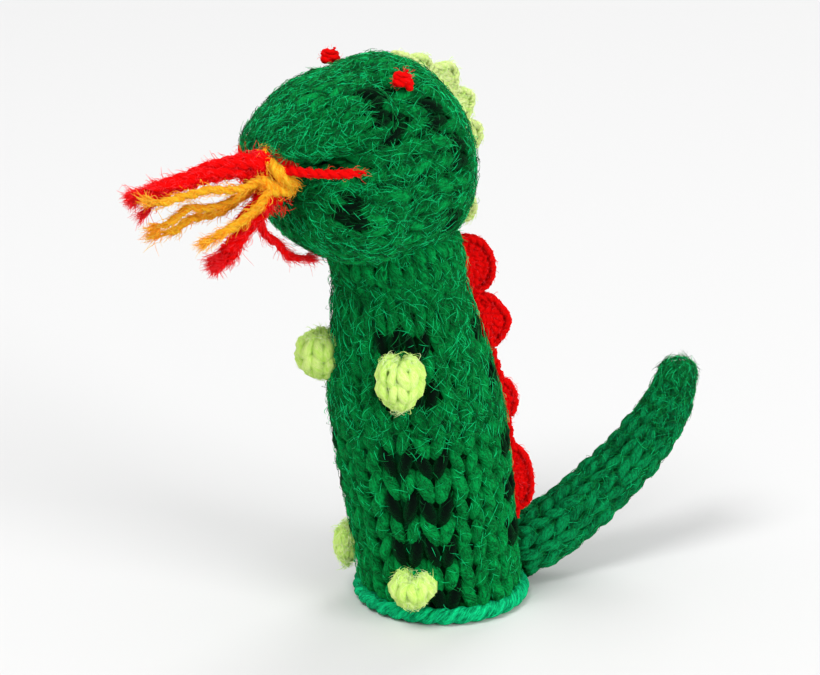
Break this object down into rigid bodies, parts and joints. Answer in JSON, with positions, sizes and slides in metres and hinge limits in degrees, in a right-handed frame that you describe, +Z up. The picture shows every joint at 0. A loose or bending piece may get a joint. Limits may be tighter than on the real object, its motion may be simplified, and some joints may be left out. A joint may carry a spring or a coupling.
{
  "type": "dragon finger puppet",
  "caption": "Knitted dragon finger puppet: a hollow sleeve for one finger, a stuffed head with a jaw, a curled tail and yarn flames.",
  "frame": {"origin": "on the surface it stands on, under the middle of the puppet's box", "axes": "+Z up; -Y is where the snout and flame point and +Y where the tail points, the longest way; +X is the side of the left arm, the shortest way"},
  "size_m": [0.0288, 0.0966, 0.0867],
  "materials": {
    "green_wool": "hairy knitted wool",
    "lime_wool": "crocheted wool",
    "red_wool": "plied wool yarn",
    "orange_wool": "plied wool yarn",
    "stuffing": "loose fibre"
  },
  "bodies": {
    "sleeve": {"body_sleeve": "green_wool", "cast_on_edge": "green_wool", "back_spine": "red_wool", "left_arm": "lime_wool", "right_arm": "lime_wool", "left_foot": "lime_wool", "right_foot": "lime_wool"},
    "neck": {"neck_gathering_yarn": "green_wool", "nape_scallop": "red_wool"},
    "head": {"head_cover": "green_wool", "head_stuffing": "stuffing", "left_eye": "red_wool", "right_eye": "red_wool", "head_crest": "lime_wool", "flame_knot_core": "red_wool", "flame_knot_wrap": "orange_wool", "mouth_yarn_left": "red_wool", "mouth_yarn_right": "red_wool"},
    "jaw": {"jaw_cover": "green_wool", "jaw_stuffing": "stuffing", "chin_yarn": "red_wool"},
    "flame_upper": {"flame_red_upper": "red_wool", "flame_red_middle": "red_wool", "flame_orange_upper": "orange_wool", "flame_orange_middle": "orange_wool", "flame_orange_lower": "orange_wool", "flame_orange_short": "orange_wool"},
    "flame_lower": {"flame_red_lower": "red_wool"},
    "tail_root": {"tail_root_cover": "green_wool", "tail_root_stuffing": "stuffing"},
    "tail_tip": {"tail_tip_cover": "green_wool", "tail_tip_stuffing": "stuffing"}
  },
  "joints": [
    {"name": "neck_turn", "type": "hinge", "parent": "sleeve", "child": "neck", "pos_m": [-0.00031, -0.00171, 0.0512], "axis": [0, 0, 1], "range_deg": [-25, 25], "stiffness_Nm_per_rad": 0.01},
    {"name": "neck_nod", "type": "hinge", "parent": "neck", "child": "head", "pos_m": [-0.00031, -0.00218, 0.0535], "axis": [1, 0, 0], "range_deg": [-10, 20], "stiffness_Nm_per_rad": 0.02},
    {"name": "jaw_open", "type": "hinge", "parent": "head", "child": "jaw", "pos_m": [-0.00031, -0.01468, 0.0726], "axis": [1, 0, 0], "range_deg": [0, 12], "stiffness_Nm_per_rad": 0.002},
    {"name": "flame_upper_swing", "type": "hinge", "parent": "head", "child": "flame_upper", "pos_m": [0.00119, -0.02568, 0.072], "axis": [0, 0, 1], "range_deg": [-20, 20], "stiffness_Nm_per_rad": 0.0005},
    {"name": "flame_lower_swing", "type": "hinge", "parent": "head", "child": "flame_lower", "pos_m": [0.00169, -0.02538, 0.07], "axis": [0, 0, 1], "range_deg": [-20, 20], "stiffness_Nm_per_rad": 0.0003},
    {"name": "tail_swing", "type": "hinge", "parent": "sleeve", "child": "tail_root", "pos_m": [0.00288, 0.01922, 0.0054], "axis": [0, 0, 1], "range_deg": [-20, 20], "stiffness_Nm_per_rad": 0.005},
    {"name": "tail_bend", "type": "hinge", "parent": "tail_root", "child": "tail_tip", "pos_m": [0.00693, 0.03721, 0.01732], "axis": [0.9744, -0.225, 0], "range_deg": [-25, 25], "stiffness_Nm_per_rad": 0.003}
  ]
}
